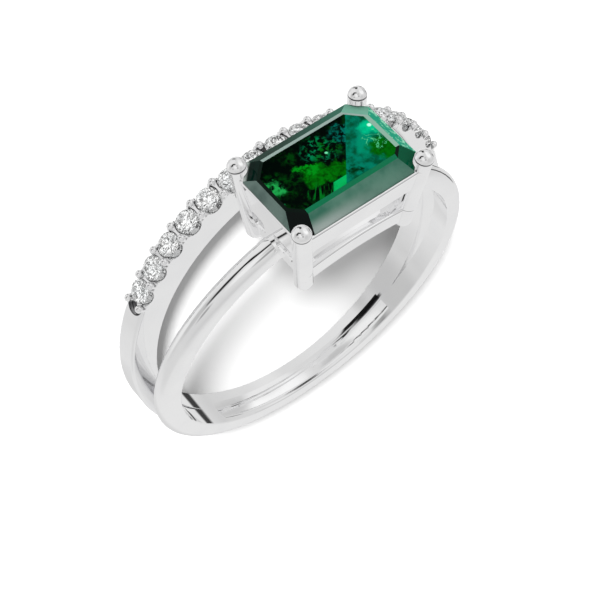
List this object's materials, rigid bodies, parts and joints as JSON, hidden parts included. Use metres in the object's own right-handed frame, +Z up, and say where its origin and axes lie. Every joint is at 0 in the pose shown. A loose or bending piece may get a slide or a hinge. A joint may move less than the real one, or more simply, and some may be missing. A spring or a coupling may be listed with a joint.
{
  "type": "statement ring",
  "caption": "White metal ring: a plain band and a stone-set band part from a shared shank, and a rectangular step-cut green stone sits in a clawed basket on the plain band.",
  "frame": {"origin": "on the floor, under the middle of the ring's box as it lies on the flat face of its stone band", "axes": "+Z up, nearly along the finger hole; the head with the large stone points to -Y; +X along the large stone"},
  "size_m": [0.0202, 0.0232, 0.0076],
  "materials": {
    "white_metal": "polished",
    "emerald": "polished",
    "diamond": "polished"
  },
  "bodies": {
    "root": {"setting": "white_metal", "emerald": "emerald", "row_stone_1": "diamond", "row_stone_2": "diamond", "row_stone_3": "diamond", "row_stone_4": "diamond", "row_stone_5": "diamond", "row_stone_6": "diamond", "row_stone_7": "diamond", "row_stone_8": "diamond", "row_stone_9": "diamond", "row_stone_10": "diamond", "row_stone_11": "diamond", "row_stone_12": "diamond", "row_stone_13": "diamond", "row_stone_14": "diamond", "row_stone_15": "diamond", "row_stone_16": "diamond"}
  },
  "joints": []
}
